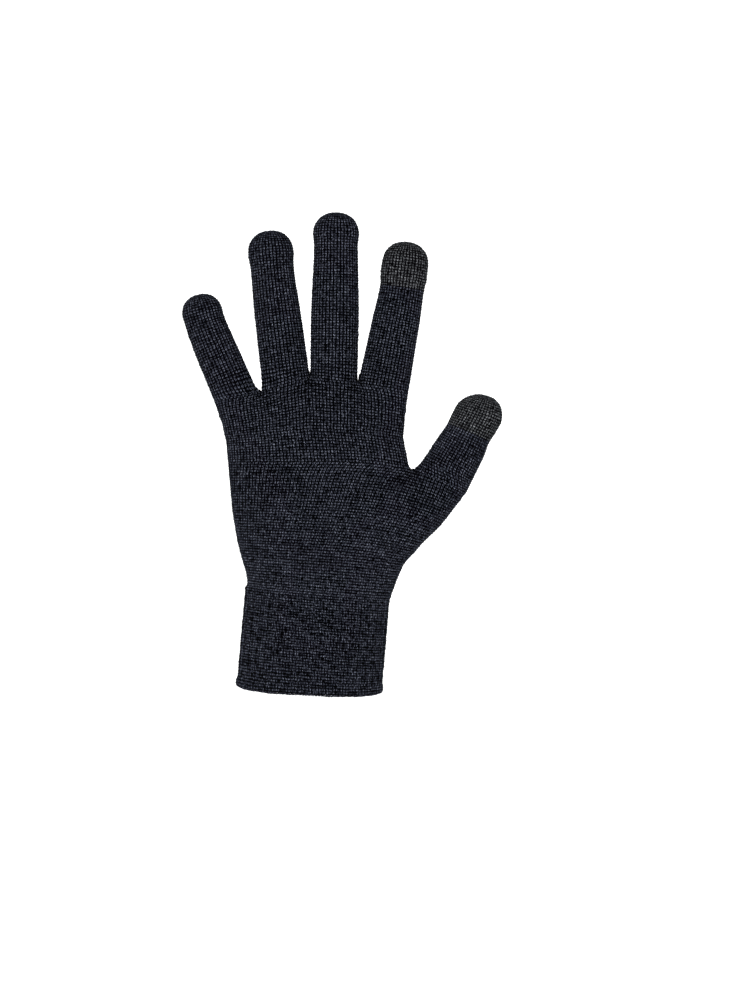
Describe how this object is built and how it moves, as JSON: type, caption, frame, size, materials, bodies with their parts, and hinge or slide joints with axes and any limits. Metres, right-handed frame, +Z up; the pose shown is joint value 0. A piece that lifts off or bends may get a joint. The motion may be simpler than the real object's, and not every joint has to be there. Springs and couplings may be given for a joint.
{
  "type": "knitted touchscreen glove",
  "caption": "Seamless knitted right-hand glove in its worn shape, with conductive index and thumb tips for touchscreens and bending fingers.",
  "frame": {"origin": "centre of the cuff's mouth, where the wearer's wrist enters", "axes": "+Z up the hand towards the middle fingertip, -Y out of the palm's face, +X to the thumb side"},
  "size_m": [0.1512, 0.0476, 0.2323],
  "materials": {
    "body_knit": "fine plain knit, matt",
    "cuff_knit": "fine rib knit, matt",
    "touch_knit": "heathered conductive yarn, matt",
    "thread": "twisted thread",
    "elastic_yarn": "covered elastic yarn"
  },
  "bodies": {
    "hand": {"palm_heel": "body_knit", "palm_knit": "body_knit", "thumb_gusset": "body_knit", "little_root": "body_knit", "ring_root": "body_knit", "middle_root": "body_knit", "index_root": "body_knit", "wrist_link": "body_knit", "cuff_rib": "cuff_knit", "cuff_welt": "cuff_knit", "cuff_elastic": "elastic_yarn", "crotch_stitch_little": "thread", "crotch_stitch_ring": "thread", "crotch_stitch_middle": "thread", "crotch_stitch_thumb": "thread"},
    "little_base_part": {"little_base": "body_knit"},
    "little_middle_part": {"little_middle": "body_knit"},
    "little_end_part": {"little_end": "body_knit", "little_tip": "body_knit", "little_closing": "thread"},
    "ring_base_part": {"ring_base": "body_knit"},
    "ring_middle_part": {"ring_middle": "body_knit"},
    "ring_end_part": {"ring_end": "body_knit", "ring_tip": "body_knit", "ring_closing": "thread"},
    "middle_base_part": {"middle_base": "body_knit"},
    "middle_middle_part": {"middle_middle": "body_knit"},
    "middle_end_part": {"middle_end": "body_knit", "middle_tip": "body_knit", "middle_closing": "thread"},
    "index_base_part": {"index_base": "body_knit"},
    "index_middle_part": {"index_middle": "body_knit"},
    "index_end_part": {"index_end": "body_knit", "index_touch_link": "touch_knit", "index_touch_cap": "touch_knit", "index_closing": "thread"},
    "thumb_base_part": {"thumb_base": "body_knit"},
    "thumb_end_part": {"thumb_end": "body_knit", "thumb_touch_link": "touch_knit", "thumb_touch_cap": "touch_knit", "thumb_closing": "thread"}
  },
  "joints": [
    {"name": "little_root_joint", "type": "hinge", "parent": "hand", "child": "little_base_part", "pos_m": [-0.03905, -0.00437, 0.1494], "axis": [0.9711, 0, 0.2385], "range_deg": [0, 75]},
    {"name": "little_middle_joint", "type": "hinge", "parent": "little_base_part", "child": "little_middle_part", "pos_m": [-0.04452, -0.00421, 0.16229], "axis": [0.9711, 0, 0.2385], "range_deg": [0, 85]},
    {"name": "little_end_joint", "type": "hinge", "parent": "little_middle_part", "child": "little_end_part", "pos_m": [-0.0498, -0.00405, 0.17472], "axis": [0.9711, 0, 0.2385], "range_deg": [0, 34]},
    {"name": "ring_root_joint", "type": "hinge", "parent": "hand", "child": "ring_base_part", "pos_m": [-0.01212, -0.00478, 0.15474], "axis": [0.9971, 0, 0.0764], "range_deg": [0, 75]},
    {"name": "ring_middle_joint", "type": "hinge", "parent": "ring_base_part", "child": "ring_middle_part", "pos_m": [-0.01453, -0.00469, 0.17358], "axis": [0.9971, 0, 0.0764], "range_deg": [0, 85]},
    {"name": "ring_end_joint", "type": "hinge", "parent": "ring_middle_part", "child": "ring_end_part", "pos_m": [-0.01733, -0.00437, 0.1954], "axis": [0.9971, 0, 0.0764], "range_deg": [0, 34]},
    {"name": "middle_root_joint", "type": "hinge", "parent": "hand", "child": "middle_base_part", "pos_m": [0.01154, -0.00472, 0.1548], "axis": [0.9999, 0, -0.0105], "range_deg": [0, 75]},
    {"name": "middle_middle_joint", "type": "hinge", "parent": "middle_base_part", "child": "middle_middle_part", "pos_m": [0.01192, -0.00482, 0.1768], "axis": [0.9999, 0, -0.0105], "range_deg": [0, 85]},
    {"name": "middle_end_joint", "type": "hinge", "parent": "middle_middle_part", "child": "middle_end_part", "pos_m": [0.01234, -0.00451, 0.20079], "axis": [0.9999, 0, -0.0105], "range_deg": [0, 34]},
    {"name": "index_root_joint", "type": "hinge", "parent": "hand", "child": "index_base_part", "pos_m": [0.03713, -0.00502, 0.15465], "axis": [0.9934, 0, -0.1149], "range_deg": [0, 75]},
    {"name": "index_middle_joint", "type": "hinge", "parent": "index_base_part", "child": "index_middle_part", "pos_m": [0.04075, -0.00477, 0.1733], "axis": [0.9934, 0, -0.1149], "range_deg": [0, 85]},
    {"name": "index_end_joint", "type": "hinge", "parent": "index_middle_part", "child": "index_end_part", "pos_m": [0.044, -0.00445, 0.18999], "axis": [0.9934, 0, -0.1149], "range_deg": [0, 34]},
    {"name": "thumb_root_joint", "type": "hinge", "parent": "hand", "child": "thumb_base_part", "pos_m": [0.06474, -0.011, 0.1084], "axis": [0.7927, -0.4226, -0.4394], "range_deg": [0, 40]},
    {"name": "thumb_end_joint", "type": "hinge", "parent": "thumb_base_part", "child": "thumb_end_part", "pos_m": [0.06986, -0.01102, 0.11794], "axis": [0.8075, -0.4226, -0.4115], "range_deg": [0, 60]}
  ],
  "couplings": [
    {"joint": "little_end_joint", "follows": "little_middle_joint", "ratio": 0.4},
    {"joint": "ring_end_joint", "follows": "ring_middle_joint", "ratio": 0.4},
    {"joint": "middle_end_joint", "follows": "middle_middle_joint", "ratio": 0.4},
    {"joint": "index_end_joint", "follows": "index_middle_joint", "ratio": 0.4}
  ]
}
